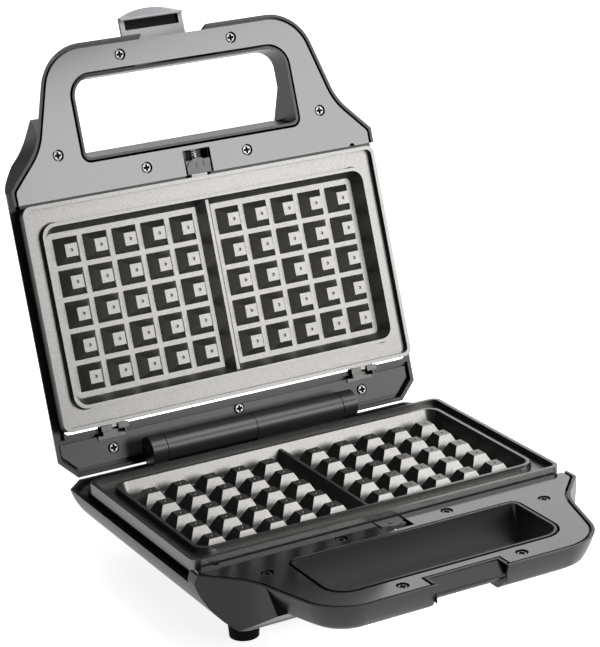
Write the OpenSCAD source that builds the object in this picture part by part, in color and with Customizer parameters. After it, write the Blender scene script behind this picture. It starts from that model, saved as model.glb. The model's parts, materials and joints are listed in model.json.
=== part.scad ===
// Waffle maker with two hinged halves, drawn with the lid open.
// Each half is drawn in its own frame: X across, Y from the handle towards the hinge,
// W = 0 at the flat tops of the waffle pyramids and W up out of the plate.
// The lid uses the same half turned over and swung about the hinge pin.

/* [Whole part] */
// Half width of a housing at its widest
half_w = 119.1; // [100:0.1:140]
// Front face of the handle, behind the plate centre
handle_y = 150.9; // [130:0.1:170]
// Rear face of a housing
rear_y = 90.9; // [80:0.1:110]
// Start of the cut rear corners behind the plate centre
corner_y = 79.6; // [70:0.1:88]
// Depth of a housing below the pyramid tops
body_d = 36.2; // [28:0.1:50]
// Height of the pyramid tops of the lower plate above the table
top_h = 45.9; // [40:0.1:60]
// Opening angle of the lid from closed
lid_open = 108.1; // [0:0.1:110]
// Wall thickness of the housings
wall = 2.2; // [1.5:0.1:4]
// Gap left between neighbouring pieces of different bodies
part_gap = 0.4; // [0.3:0.05:1]

/* [Hinge] */
// Distance of the hinge pin behind the plate centre
hinge_y = 84.15; // [75:0.05:95]
// Height of the hinge pin above the pyramid tops
hinge_w = 2.4; // [1.5:0.1:6]
// Radius of the hinge knuckles
knuckle_r = 8.2; // [6:0.1:12]
// Outer end of the long knuckle
knuckle_x = 57.6; // [30:0.1:80]
// Length of the short end knuckle
end_knuckle_l = 9.2; // [5:0.1:20]
// Radius of the hinge pin
pin_r = 2.5; // [1.5:0.1:4]
// Running clearance of the lid knuckles on the pin
pin_fit = 0.05; // [0.01:0.01:0.1]

/* [Waffle plate] */
// Half width of the plate over its outer lip
plate_x = 114.3; // [90:0.1:130]
// Half depth of the plate over its outer lip
plate_y = 64.3; // [50:0.1:80]
// Corner radius of the outer lip
plate_r = 5; // [2:0.1:12]
// Height of the outer lip and the inner rim above the pyramid tops
rim_h = 2; // [0.5:0.1:5]
// Level of the flat flange below the pyramid tops
flange_d = 1.3; // [0:0.1:4]
// Width of the outer lip
lip_w = 2.2; // [1:0.1:5]
// Half width of the inner rim outside
rim_x = 105.1; // [90:0.1:110]
// Half depth of the inner rim outside
rim_y = 53; // [40:0.1:60]
// Thickness of the inner rim at its top
rim_t = 1.9; // [0.8:0.1:4]
// Slope run of the waffle cavity wall
cavity_run = 3.7; // [1:0.1:6]
// Depth of the waffle cavity floor below the pyramid tops
floor_d = 7.4; // [4:0.1:14]
// Thickness of metal under the cavity floor
plate_t = 3.4; // [2:0.1:6]
// Bottom edge of the plate's outer skirt below the pyramid tops
skirt_d = 4.6; // [3:0.1:8]
// Pyramid pitch across the plate
pitch_x = 18.4; // [12:0.1:25]
// Pyramid pitch along the plate
pitch_y = 18.2; // [12:0.1:25]
// Distance from the centre line to the first pyramid column
first_col = 15.05; // [10:0.05:25]
// Half width of a pyramid at its foot
pyr_foot = 7.65; // [4:0.05:9]
// Half width of a pyramid at its top
pyr_top = 3.7; // [2:0.1:6]
// Radius of the small dimple in each pyramid top
dimple_r = 0.95; // [0.3:0.05:2]
// Depth of the dimple
dimple_d = 0.7; // [0.2:0.1:1.5]
// Half width of the ridge between the waffles, at its top
ridge_t = 0.95; // [0.5:0.05:3]
// Distance of the rear lugs from the centre line
lug_x = 82.3; // [70:0.1:90]
// Width of the lugs that hold the plate
lug_w = 14; // [6:0.5:24]
// Reach of the lugs beyond the lip
lug_l = 2.5; // [1:0.1:4]

/* [Handle] */
// Half width of the front wings at their rim
wing_x = 117.2; // [100:0.1:140]
// Angle of the slanted wing edges
wing_slant = 43.2; // [30:0.1:60]
// Distance of the slanted wing edges from the plate centre
wing_c = 136.5; // [120:0.1:150]
// Lean of the handle arms: width over length along an arm
arm_lean = 0.28; // [0.1:0.01:0.5]
// Half length of the straight front edge of the handle
front_x = 60.4; // [40:0.1:80]
// Corner radius at the front of the handle
front_round = 28; // [14:0.5:40]
// Radius of the hollow between an arm and its wing
neck_round = 35; // [20:0.5:60]
// Half width of the free opening of the handle
grip_x = 68.4; // [50:0.1:90]
// Front edge of the free opening
grip_front = 130.8; // [110:0.1:140]
// Rear edge of the free opening
grip_rear = 85.7; // [75:0.1:100]
// Corner radius of the opening at the front
grip_r = 11; // [4:0.1:20]
// Corner radius of the opening at the rear
grip_rear_r = 3; // [2:0.1:12]
// Depth of the handle below the pyramid tops
handle_d = 18; // [14:0.1:24]
// Radius of the bulged outer wall of the handle
bulge_r = 60; // [30:1:100]
// Lean of that wall at its upper edge, as an angle
bulge_lean = 15.7; // [5:0.1:25]
// Height of the slanted lower edge of the handle
under_h = 3.1; // [1:0.1:5]
// Width of the slanted lower edge of the handle
under_w = 4.8; // [1:0.1:8]
// Width of the rim of the housing around the inner cover
wing_edge = 1.7; // [1:0.1:4]
// Visible groove between that rim and the inner cover
groove = 1.4; // [0.5:0.1:3]
// Width of the rim around the opening
grip_edge = 1.5; // [1:0.1:3]
// Half width of the latch recess in the front edge
notch_x = 20.9; // [15:0.1:40]
// Depth of the latch recess, from the plate centre
notch_y = 141.2; // [130:0.1:148]
// Front face of the rib that the latch hooks under
rib_y = 148.6; // [144:0.1:150]
// Upper front edge of that rib below the pyramid tops
rib_top = 6.6; // [4:0.1:8]
// Lower edge of that rib below the pyramid tops
rib_bottom = 8.2; // [7.5:0.1:10]
// Level of the side and rear rims below the pyramid tops
rim_level = 8; // [6:0.1:10]
// Width of the rim around the hinge cover
rim_edge = 3.7; // [2:0.1:6]

/* [Inner cover] */
// Top face of the inner cover below the pyramid tops
cover_w = 1.6; // [0:0.1:4]
// Thickness of the inner cover
cover_t = 2; // [1.2:0.1:4]
// Rear edge of the inner cover
cover_y = 65.8; // [64:0.1:70]
// Half width of the plate release window
window_x = 8.8; // [5:0.1:15]
// Front edge of the plate release window
window_y = 80.3; // [75:0.1:82]
// Distance of the small locating notch in the rear edge from the centre line
key_x = 102.3; // [90:0.1:110]
// Radius of the locating notch
key_r = 1.7; // [1:0.1:3]

/* [Screws] */
// Radius of the counterbore around a cover screw
bore_r = 3.4; // [2.5:0.1:5]
// Radius of the screw heads
head_r = 2.6; // [2:0.1:4]
// Height of the screw heads
head_h = 1.8; // [1:0.1:3]
// Radius of the screw shanks
shank_r = 1.4; // [1:0.1:2.5]
// Length of the cross slots
slot_l = 3.6; // [2:0.1:4]
// Width of the cross slots
slot_w = 1; // [0.5:0.1:1.5]
// Depth of the cross slots
slot_d = 1.1; // [0.5:0.1:1.5]
// Depth of the screw seats in the hinge covers
strip_sink = 1.2; // [0.8:0.1:1.2]
// Length of the cover screws below the head
screw_l = 10; // [6:0.5:20]
// Radius of the bosses under the inner cover
boss_r = 4.7; // [4:0.1:6]

/* [Hinge cover] */
// Top face of the hinge cover below the pyramid tops
strip_w = 10.1; // [8:0.1:14]
// Thickness of the hinge cover
strip_t = 2; // [1.2:0.1:4]
// Front edge of the hinge cover
strip_y = 71; // [69:0.1:76]

/* [Latch] */
// Distance of the latch pin from the plate centre
latch_y = 134.6; // [132:0.1:138]
// Depth of the latch pin below the pyramid tops
latch_w = 14.1; // [12:0.1:16]
// Half width of the latch
latch_x = 20.4; // [12:0.1:24]
// Radius of the latch barrel
latch_r = 2.6; // [2.2:0.1:4]
// Radius of the latch pin
latch_pin_r = 1.5; // [1:0.1:2.5]
// Inner face of the latch's front plate, in front of its pin
latch_reach = 14.4; // [12:0.1:20]
// Thickness of the latch's front plate
latch_t = 4.1; // [2.5:0.1:6]
// Length of the latch's front plate beyond its pin
latch_l = 31; // [26:0.1:40]
// Depth of the hook under the handle rib
hook_d = 2; // [1:0.1:4]
// Height of the hook
hook_h = 1.3; // [1:0.1:3]
// Gap between the closed hook and the underside of its rib
hook_gap = 0.3; // [0.2:0.05:1]
// Radius of the round outer face of the latch
latch_bow = 110; // [80:1:160]

/* [Plate release] */
// Half width of the release button
button_x = 7.6; // [5:0.1:10]
// Travel of the release button
button_travel = 3.4; // [2:0.1:4]
// Front of a button before the plate centre
button_front = 68.3; // [67:0.1:70]
// Back of a button before the plate centre
button_back = 74.2; // [72:0.1:76]
// Bottom of a button below the pyramid tops
button_d = 9; // [7:0.1:10]
// Top of a button below the pyramid tops
button_top = 2.6; // [2:0.1:4]
// Radius of the thumb face
thumb_r = 8.3; // [6:0.1:10]
// Back of the thumb face before the plate centre
thumb_back = 75.2; // [74.5:0.1:76]
// Length of the thumb face
thumb_l = 9.2; // [7:0.1:10]

/* [Cord gland] */
// Distance of the gland from the centre line
gland_x = 70; // [40:1:90]
// Depth of the gland's centre below the pyramid tops
gland_d = 20; // [17:0.1:24]
// Radius of the gland's sleeve
gland_r = 4.6; // [3:0.1:6]
// Radius of the hole for the mains lead
gland_hole_r = 3.1; // [2:0.1:4]

/* [Feet] */
// Distance of the front feet from the centre line
foot_x = 87.5; // [70:0.1:100]
// Distance of the rear feet from the centre line
foot_rear_x = 72; // [60:0.1:90]
// Distance of the front feet from the plate centre
foot_front = 65.6; // [50:0.1:80]
// Distance of the rear feet behind the plate centre
foot_rear = 66; // [50:0.1:75]
// Radius of a foot at its top
foot_r = 9.5; // [5:0.1:12]
// Radius of a foot at the table
foot_tip_r = 7.9; // [4:0.1:12]

/* [Return springs] */
// Radius of the coil of a return spring
spring_r = 2; // [1.5:0.1:2.4]
// Radius of the spring wire
spring_wire = 0.42; // [0.3:0.02:0.5]
// Distance from coil to coil
spring_pitch = 1.52; // [1:0.02:2]
// Axis of the spring below the pyramid tops
spring_w = 6.4; // [5:0.1:7]

/* [Inner walls] */
// Distance of the side ribs from the centre line
rib_x = 109.5; // [105:0.1:112]
// Depth of the ribs below the pyramid tops
rib_d = 12; // [9:0.1:16]
// Rear face of the front cross wall, before the plate centre
front_wall_y = 64.5; // [62:0.1:66]
// Thickness of the front cross wall
front_wall_t = 1.8; // [1:0.1:3]
// Front face of the rear cross wall, behind the plate centre
rear_wall_y = 68.4; // [67:0.1:70]
// Thickness of the rear cross wall
rear_wall_t = 1.5; // [1:0.1:3]
// Front face of the opening in the flange rib
rib_front = 60; // [55:0.1:62]
// Rear face of the opening in the flange rib
rib_rear = 62; // [55:0.1:64]
// Height of the ledge under the hinge cover
strip_ledge_h = 2; // [1:0.1:4]
// Width of that ledge from the outline
strip_ledge_w = 8.5; // [6:0.1:12]
// Width of that ledge behind the cross wall
strip_ledge_front = 2.6; // [1.5:0.1:4]
// Radius of the screw posts
post_r = 4.2; // [3:0.1:6]
// Depth of the pilot holes
pilot_d = 16; // [12:0.5:18]
// Distance of the holes for the looms from the centre line
lead_x = 40; // [30:1:60]
// Radius of the holes for the looms
lead_hole_r = 4; // [3:0.1:6]

/* [Plate clips] */
// Half width of a clip
clip_x = 8.6; // [7.5:0.1:12]
// Rear face of the upright of a clip
clip_y = 68.3; // [67:0.1:70]
// Sheet thickness of a clip
clip_t = 0.8; // [0.5:0.1:1.2]
// Tip of the nose over the lug
clip_nose_y = 65; // [64.5:0.1:66]
// Top of a clip below the pyramid tops
clip_top = 1.9; // [1:0.1:3]
// End of the foot of a clip
clip_foot_y = 73.2; // [71:0.1:75]
// Distance of the stiffening ribs from the middle of a clip
clip_rib_x = 6.9; // [5:0.1:9]
// Reach of the stiffening ribs
clip_rib_l = 2.7; // [1:0.1:4]
// Top of the stiffening ribs below the pyramid tops
clip_rib_top = 4; // [3:0.1:6]
// Width of the slot in the nose
clip_slot = 4; // [2:0.1:8]
// Depth of the slot below the pyramid tops
clip_slot_d = 7; // [4:0.1:8]

/* [Heating] */
// Radius of the tubular heating element
tube_r = 3.2; // [2.5:0.1:4]
// Half length of the heating loop
loop_x = 78; // [50:1:90]
// Half width of the heating loop
loop_y = 30; // [15:1:40]
// Gap between the heating element and the plate
heat_gap = 0.4; // [0:0.1:1]
// Sheet thickness of the reflector
sheet = 0.6; // [0.4:0.1:1]
// Depth of the reflector floor below the pyramid tops
tray_d = 20; // [17:0.1:26]

/* [Hidden] */
frame_y = -21.96;
hinge_z = top_h + hinge_w;
side_r = 37;
front_r = 12;
rear_r = 18;
seat_w = 3.8;
ledge_w = 9.3;
neck_y = 106;
wing_end = 65.8;
face_y = 89.6;
edge_w = 1.4;
eps = 0.02;
plate_base = floor_d + plate_t;
rim_in_x = rim_x - rim_t;
rim_in_y = rim_y - rim_t;
fin = 0.01;
tray_x = 108;
tray_y = 58;
tray_lip_x = 112.6;
tray_lip_y = 65.9;
tray_lip_front = 63;
ledge_y = rear_wall_y + rear_wall_t;
boss_w = 5.6;
screw_pts = [[85.1, -90], [-85.1, -90], [32.7, -74.6], [-32.7, -74.6], [35.9, -140.9], [-35.9, -140.9]];
strip_pts = [[-82.5, 79], [0, 73.4], [82.5, 79]];
arm_slant = asin(arm_lean);
taper = [sqrt(1 - arm_lean * arm_lean), -arm_lean];
// distance of the arm's outer line from the plate centre
arm_c = taper[0] * front_x + arm_lean * (handle_y - front_round) + front_round;
diag_n = [cos(wing_slant), -sin(wing_slant)];
bulge_x = bulge_r * cos(bulge_lean);
bulge_w = bulge_r * sin(bulge_lean) - edge_w;
foot_n = bulge_x - sqrt(bulge_r * bulge_r - pow(bulge_w + handle_d - under_h, 2));
bar_in = 12.5;
// end of the button's guide: rear of the button, its travel and the pressed spring
guide_end = button_back + button_travel + 3.8;
guide_x = 11;
guide_back = 82.9;
guide_seat_x = 9.4;
guide_seat_y = 72.9;
guide_seat_d = 5.4;
// middle of the first coil of a return spring
spring_y = -button_back - spring_wire - 0.13;
// top of the latch arm below the pivot, and the closed hook below its rib
arm_top = 0.8;
hook_z = latch_w + 2 * hinge_w + rib_bottom + hook_gap;
// pocket of the latch that takes the rib
pocket_x = 17.5;
pocket_h = 5.9;
pocket_d = 1.8;
// middle of the looms above the floor of a housing, and their radius
wire_w = wall - body_d + 4.5;
wire_r = 1.2;
// underside of the lamp board
board_w = wall - body_d + 6.4;
$fn = 64;

// ---- frames -----------------------------------------------------------

// places a half on the table
module base_at() {
    translate([0, frame_y, top_h])
        children();
}

// turns a half over and opens it about the hinge pin
module lid_at() {
    translate([0, frame_y + hinge_y, hinge_z])
        rotate([-lid_open, 0, 0])
        translate([0, -hinge_y, hinge_w])
        rotate([0, 180, 0])
        children();
}

// extrudes a drawing in X and W along Y
module along_y(y0, y1) {
    translate([0, y1, 0])
        rotate([90, 0, 0])
        linear_extrude(y1 - y0)
        children();
}

// extrudes a drawing in Y and W along X
module along_x(x0, x1) {
    translate([x0, 0, 0])
        rotate([90, 0, 90])
        linear_extrude(x1 - x0)
        children();
}

// box between two corners
module box(a, b) {
    translate(a)
        cube(b - a);
}

// ---- drawings ---------------------------------------------------------

// rounded rectangle about the centre
module rrect(hx, hy, r) {
    square([2 * (hx - r), 2 * hy], center = true);
    square([2 * hx, 2 * (hy - r)], center = true);
    for (sx = [-1, 1], sy = [-1, 1])
        translate([sx * (hx - r), sy * (hy - r)])
            circle(r);
}

// crossing point of the lines n.p = c and m.p = e
function cross_at(n, c, m, e) =
    let (k = n[0] * m[1] - n[1] * m[0])
    [(c * m[1] - e * n[1]) / k, (n[0] * e - m[0] * c) / k];

// line offsets of the handle outline, moved in by d
function side_c(d) = wing_x - d;
function diag_c(d) = wing_c - d;
function taper_c(d) = arm_c - d;
function front_c(d) = handle_y - d;

// tangent points and centre of an arc of radius r between two lines, s = -1 inside, 1 outside
function arc_c(n, c, m, e, r, s) = cross_at(n, c + s * r, m, e + s * r);

// corner piece between the arc centre and the corner, carried past both lines
module corner_cell(n, c, m, e, r, s) {
    q = arc_c(n, c, m, e, r, s);
    polygon([q, q - s * (r + 3) * n, cross_at(n, c - 3 * s, m, e - 3 * s), q - s * (r + 3) * m]);
}

// centre of the front corner of the handle, moved in by d
function corner_q(d) = [front_x, front_round - handle_y];

// right half of the outline of the handle and the front wings, moved in by d, sides out by e
module wing_half(d, e) {
    sx = [1, 0];
    fy = [0, -1];
    r = front_round - d;
    nr = neck_round + d;
    cr = 4;
    v1 = cross_at(sx, side_c(d - e), diag_n, diag_c(d));
    v2 = cross_at(diag_n, diag_c(d), taper, taper_c(d));
    v3 = cross_at(taper, taper_c(d), fy, front_c(d));
    difference() {
        polygon([[-fin, -60], [side_c(d - e), -60], v1, v2, v3, [-fin, -front_c(d)]]);
        corner_cell(sx, side_c(d - e), diag_n, diag_c(d), cr, -1);
        corner_cell(taper, taper_c(d), fy, front_c(d), r, -1);
    }
    translate(arc_c(sx, side_c(d - e), diag_n, diag_c(d), cr, -1))
        circle(cr);
    translate(corner_q(d))
        circle(r);
    difference() {
        corner_cell(diag_n, diag_c(d), taper, taper_c(d), nr, 1);
        translate(arc_c(diag_n, diag_c(d), taper, taper_c(d), nr, 1))
            circle(nr);
    }
}

// outline of the handle and the front wings
module wing2d(d, e = 0) {
    wing_half(d, e);
    mirror([1, 0])
        wing_half(d, e);
}

// outline of the rear of a housing with its cut corners
module rear2d(d) {
    k = d * tan(22.5);
    cx = half_w + corner_y - rear_y;
    polygon([[-half_w + d, -61], [half_w - d, -61], [half_w - d, corner_y - k],
        [cx - k, rear_y - d], [-cx + k, rear_y - d], [-half_w + d, corner_y - k]]);
}

// outline of a housing in plan
module plan2d(d) {
    wing2d(d, half_w - wing_x);
    rear2d(d);
}

// handle opening, grown by g
module grip2d(g) {
    yc = -(grip_front + grip_rear) / 2;
    hy = (grip_front - grip_rear) / 2;
    translate([0, yc])
        rrect(grip_x + g, hy + g, grip_r + g);
    intersection() {
        translate([0, yc])
            rrect(grip_x + g, hy + g, grip_rear_r + g);
        translate([-half_w, yc])
            square([2 * half_w, hy + g + 1]);
    }
}

// section across a housing: wide round sides that draw in at the rim
module side_section(d) {
    intersection() {
        union() {
            translate([-(half_w - side_r), -body_d + d])
                square([2 * (half_w - side_r), body_d - d]);
            for (s = [-1, 1])
                translate([s * (half_w - side_r), side_r - body_d])
                    circle(side_r - d);
        }
        polygon([[-half_w, -body_d], [half_w, -body_d], [half_w - d, -rim_level],
            [wing_x - d, -edge_w], [-wing_x + d, -edge_w], [-half_w + d, -rim_level]]);
    }
}

// section along a housing, with the slanted front wall behind the grip
module long_section(d) {
    x0 = -face_y + d;
    polygon([[-grip_rear + min(d, grip_edge), -edge_w], [x0, -body_d + front_r],
        [x0 + front_r - d, -body_d + front_r], [x0 + front_r - d, -body_d + d],
        [rear_y - rear_r, -body_d + d], [rear_y - rear_r, -body_d + rear_r],
        [rear_y - d, -body_d + rear_r], [rear_y - d, -rim_level], [-wing_end, -rim_level],
        [-wing_end, -edge_w]]);
    translate([-face_y + front_r, -body_d + front_r])
        circle(front_r - d);
    intersection() {
        translate([rear_y - rear_r, -body_d + rear_r])
            circle(rear_r - d);
        translate([0, -body_d])
            square([rear_y, body_d - rim_level]);
    }
}

// section across a cut rear corner, measured along its slant
module corner_section(d) {
    c = (half_w + corner_y) * sin(45) + 1 - side_r;
    translate([-300, -body_d + d])
        square([300 + c, body_d - d]);
    translate([c, side_r - body_d])
        circle(side_r - d);
}

// section of the handle from its outline inwards
module bar_section() {
    difference() {
        intersection() {
            translate([bulge_x, bulge_w])
                circle(bulge_r);
            translate([-1, -handle_d])
                square([bar_in + 1, handle_d - edge_w]);
        }
        polygon([[-1, under_h - handle_d], [foot_n, under_h - handle_d],
            [foot_n + under_w, -handle_d], [foot_n + under_w, -handle_d - 1], [-1, -handle_d - 1]]);
    }
}

// ---- housings ---------------------------------------------------------

// everything inside a cut rear corner
module corner_prism(d) {
    rotate([0, 0, 45])
        along_y(-300, 300)
        corner_section(d);
}

// body of a housing, moved in by d
module body_form(d) {
    intersection() {
        along_x(-half_w, half_w)
            long_section(d);
        along_y(-handle_y, rear_y)
            side_section(d);
        translate([0, 0, -body_d])
            linear_extrude(body_d)
            plan2d(d);
        corner_prism(d);
        mirror([1, 0, 0])
            corner_prism(d);
    }
}

// deep wings beside the grip, with an underside that rises to the handle arms
module wing_form() {
    intersection() {
        along_x(-half_w, half_w)
            polygon([[-wing_end, -edge_w], [-neck_y, -edge_w], [-neck_y - 7, 3 - handle_d],
                [-face_y + 1.1, -30.8], [-wing_end, -30.8]]);
        along_y(-handle_y, 0)
            side_section(0);
        translate([0, 0, -body_d])
            linear_extrude(body_d)
            wing2d(0, half_w - wing_x);
    }
}

// front bar and arms of the handle with their bulged outer walls
module bar_form() {
    q = corner_q(0);
    l = q[1] + front_round * taper[1];
    along_x(-q[0], q[0])
        translate([-handle_y, 0])
        bar_section();
    for (m = [0, 1])
        mirror([m, 0, 0]) {
            translate([q[0], q[1], 0])
                rotate([0, 0, -90])
                rotate_extrude(angle = 90 - arm_slant)
                translate([front_round, 0])
                mirror([1, 0])
                bar_section();
            translate([q[0] + front_round * taper[0], l, 0])
                rotate([0, 0, -arm_slant])
                along_y(0, (-neck_y + 8 - l) / taper[0])
                mirror([1, 0])
                bar_section();
        }
    translate([0, 0, -handle_d])
        linear_extrude(handle_d - edge_w)
        wing2d(bar_in - 1);
}

// handle with its opening
module handle_form() {
    difference() {
        union() {
            wing_form();
            bar_form();
        }
        translate([0, 0, -body_d - 1])
            linear_extrude(body_d + 2)
            grip2d(0);
    }
}

// hollow of the handle and the shallow seat of the inner cover
module handle_hollow() {
    translate([0, 0, wall - handle_d])
        linear_extrude(handle_d)
        difference() {
            wing2d(ledge_w);
            grip2d(wall);
        }
    translate([0, 0, -seat_w])
        linear_extrude(seat_w + 1)
        difference() {
            wing2d(wing_edge);
            grip2d(grip_edge);
        }
}

// screw posts standing on the floor of a housing
module posts() {
    for (p = screw_pts)
        translate([p[0], p[1], -body_d])
            cylinder(r = post_r, h = body_d - boss_w);
    for (p = strip_pts)
        translate([p[0], p[1], -body_d])
            cylinder(r = post_r, h = body_d - strip_w - strip_t);
}

// pilot holes of the screws
module pilots() {
    for (p = screw_pts)
        translate([p[0], p[1], -pilot_d])
            cylinder(r = shank_r, h = pilot_d);
    for (p = strip_pts)
        translate([p[0], p[1], -strip_w - strip_t - pilot_d + 5])
            cylinder(r = shank_r, h = pilot_d);
}

// walls across the housing and the seat of the hinge cover
module cross_walls() {
    for (m = [0, 1])
        mirror([m, 0, 0])
            box([rib_x, -front_wall_y, -rib_d], [half_w, rear_wall_y, -rim_level]);
    box([-half_w, rear_wall_y, -body_d], [half_w, ledge_y, -strip_w]);
    box([-half_w, -front_wall_y - front_wall_t, -body_d], [half_w, -front_wall_y, -rim_level]);
    difference() {
        box([-half_w, ledge_y, -strip_w - strip_t - strip_ledge_h], [half_w, rear_y, -strip_w - strip_t]);
        translate([0, 0, -body_d])
            linear_extrude(body_d)
            intersection() {
                rear2d(strip_ledge_w);
                translate([-half_w, ledge_y + strip_ledge_front])
                    square([2 * half_w, half_w]);
            }
    }
}

// rib that carries the flange of the reflector
module flange_rib() {
    difference() {
        box([-tray_lip_x, -front_wall_y - front_wall_t, -rib_d], [tray_lip_x, rear_wall_y, -skirt_d - sheet]);
        box([-rib_x, -rib_front, -rib_d - 1], [rib_x, rib_rear, 0]);
        for (x = [-lug_x, lug_x])
            box([x - clip_x - part_gap, tray_lip_y + 0.1, -rib_d - 1],
                [x + clip_x + part_gap, rear_wall_y + 0.1, 0]);
        box([-button_x - part_gap, -front_wall_y - front_wall_t - 1, -button_d - part_gap],
            [button_x + part_gap, 0.5 - front_wall_y, 0]);
    }
}

// guide block of the plate release button
module button_guide() {
    difference() {
        box([-guide_x, -guide_back, -body_d], [guide_x, -front_wall_y - front_wall_t, -cover_w - cover_t]);
        box([-button_x - part_gap, -guide_end, -button_d - part_gap], [button_x + part_gap, -rib_front, 0]);
        box([-guide_seat_x, -guide_seat_y, -guide_seat_d], [guide_seat_x, -rib_front, 0]);
    }
}

// shell shared by both housings
module shell() {
    flange_rib();
    difference() {
        union() {
            body_form(0);
            handle_form();
        }
        difference() {
            union() {
                body_form(wall);
                handle_hollow();
                translate([0, 0, -rim_level - eps])
                    linear_extrude(3)
                    intersection() {
                        plan2d(wall);
                        translate([-half_w, -wing_end])
                            square([2 * half_w, ledge_y + wing_end]);
                    }
                translate([0, 0, -strip_w - strip_t])
                    linear_extrude(20)
                    intersection() {
                        rear2d(rim_edge);
                        translate([-half_w, ledge_y])
                            square([2 * half_w, half_w]);
                    }
            }
            intersection() {
                union() {
                    posts();
                    cross_walls();
                    button_guide();
                }
                union() {
                    body_form(fin);
                    handle_form();
                }
            }
        }
        pilots();
        for (p = screw_pts)
            translate([p[0], p[1], -boss_w])
                cylinder(r = boss_r + part_gap, h = boss_w);
        // ways for the wires through the cross walls
        for (s = [-1, 1])
            translate([s * lead_x, ledge_y + 5, wire_w + 2.5])
                rotate([90, 0, 0])
                cylinder(r = lead_hole_r, h = 12);
    }
}

// solid inside the front wall at a latch recess, back to y1
module notch_block(x, y1) {
    along_x(-x, x)
        polygon([[-rib_y, -seat_w], [-rib_y, -5], [-147, -9], [-145.4, -12.5], [-143.6, -15.5],
            [-140.3, 0.1 - handle_d], [y1, 0.1 - handle_d], [y1, -seat_w]]);
}

module base_housing() {
    color([0.12, 0.12, 0.13])
    base_at()
    difference() {
        union() {
            shell();
            notch_block(notch_x + wall, -grip_front - 0.4);
            box([-notch_x - grip_edge, -148, -5], [notch_x + grip_edge, -notch_y + grip_edge, -edge_w]);
            box([-notch_x - 0.5, -149.4, -12], [notch_x + 0.5, -142, -edge_w]);
        }
        // slanted recess, rib for the latch hook and the face below the rib
        along_x(-notch_x, notch_x)
            polygon([[-notch_y, 1], [-notch_y, -2.2], [-rib_y, -rib_top], [-rib_y, -rib_bottom],
                [-rib_y + 2, -rib_bottom], [-144.6, -11.6], [-133.6, -handle_d - 0.1],
                [-133.6, -handle_d - 1], [-handle_y - 1, -handle_d - 1], [-handle_y - 1, 1]]);
        // seat of the cord gland
        translate([-gland_x, rear_y - 10, -gland_d])
            rotate([-90, 0, 0])
            cylinder(r = gland_r, h = 20);
    }
}

module lid_housing() {
    hole = latch_r + part_gap;
    color([0.12, 0.12, 0.13])
    lid_at()
    difference() {
        union() {
            shell();
            notch_block(27, -grip_front - 0.4);
        }
        box([-notch_x, -handle_y - 1, -20], [notch_x, -handle_y + wing_edge + groove + 0.2, 1]);
        // trough of the latch barrel
        translate([-latch_x - part_gap, -latch_y, -latch_w])
            rotate([0, 90, 0])
            cylinder(r = hole, h = 2 * (latch_x + part_gap));
        box([-latch_x - part_gap, -handle_y, -20],
            [latch_x + part_gap, -latch_y, part_gap - latch_w - arm_top]);
        box([-latch_x - part_gap, -latch_y - 1, -20], [latch_x + part_gap, hole - latch_y, -latch_w]);
        translate([-26, -latch_y, -latch_w])
            rotate([0, 90, 0])
            cylinder(r = latch_pin_r, h = 52);
        // holes of the indicator lenses
        for (s = [-1, 1])
            translate([s * 12, -50, -body_d - 1])
                cylinder(r = 4, h = 6);
    }
}

// ---- covers -----------------------------------------------------------

// glossy inner cover of the handle
module inner_cover(notch) {
    difference() {
        union() {
            translate([0, 0, -cover_w - cover_t])
                linear_extrude(cover_t)
                difference() {
                    intersection() {
                        wing2d(wing_edge + groove);
                        translate([-half_w, -handle_y])
                            square([2 * half_w, handle_y - cover_y]);
                    }
                    grip2d(grip_edge + groove);
                    translate([-notch_x - grip_edge - groove, -handle_y])
                        square([2 * (notch_x + grip_edge + groove), notch]);
                    translate([-key_x, -cover_y])
                        circle(key_r);
                    translate([-window_x, -window_y])
                        square([2 * window_x, 20]);
                }
            for (p = screw_pts)
                translate([p[0], p[1], -boss_w])
                    cylinder(r = boss_r, h = boss_w - cover_w - 0.5);
        }
        for (p = screw_pts) {
            translate([p[0], p[1], -4])
                cylinder(r = bore_r, h = 5);
            translate([p[0], p[1], -6])
                cylinder(r = shank_r + 0.2, h = 5);
        }
    }
}

module base_inner_cover() {
    color([0.3, 0.3, 0.31])
        base_at()
        inner_cover(handle_y - notch_y + grip_edge + groove);
}

module lid_inner_cover() {
    color([0.3, 0.3, 0.31])
        lid_at()
        inner_cover(0.1);
}

// hinge cover with its knuckles
module hinge_cover(bore) {
    difference() {
        union() {
            translate([0, 0, -strip_w - strip_t])
                linear_extrude(strip_t)
                intersection() {
                    rear2d(rim_edge + 1);
                    translate([-half_w, strip_y])
                        square([2 * half_w, 30]);
                }
            knuckle(part_gap / 2, knuckle_x);
            knuckle(-knuckle_x - part_gap - end_knuckle_l, -knuckle_x - part_gap);
        }
        translate([-half_w, hinge_y, hinge_w])
            rotate([0, 90, 0])
            cylinder(r = bore, h = 2 * half_w);
        for (p = strip_pts) {
            translate([p[0], p[1], -strip_w - strip_sink])
                cylinder(r = bore_r, h = 2);
            translate([p[0], p[1], -strip_w - 3])
                cylinder(r = shank_r + 0.2, h = 4);
        }
    }
}

// one knuckle and its foot
module knuckle(x0, x1) {
    translate([x0, hinge_y, hinge_w])
        rotate([0, 90, 0])
        cylinder(r = knuckle_r, h = x1 - x0);
    along_x(x0, x1)
        polygon([[hinge_y - 7.2, -strip_w - fin], [hinge_y - 6.4, hinge_w - 4], [hinge_y, hinge_w],
            [rear_y - 0.6, hinge_w - 2], [rear_y - 5, -strip_w - fin]]);
}

module base_hinge_cover() {
    color([0.2, 0.2, 0.21])
        base_at()
        hinge_cover(pin_r);
}

module lid_hinge_cover() {
    color([0.2, 0.2, 0.21])
        lid_at()
        hinge_cover(pin_r + pin_fit);
}

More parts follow.
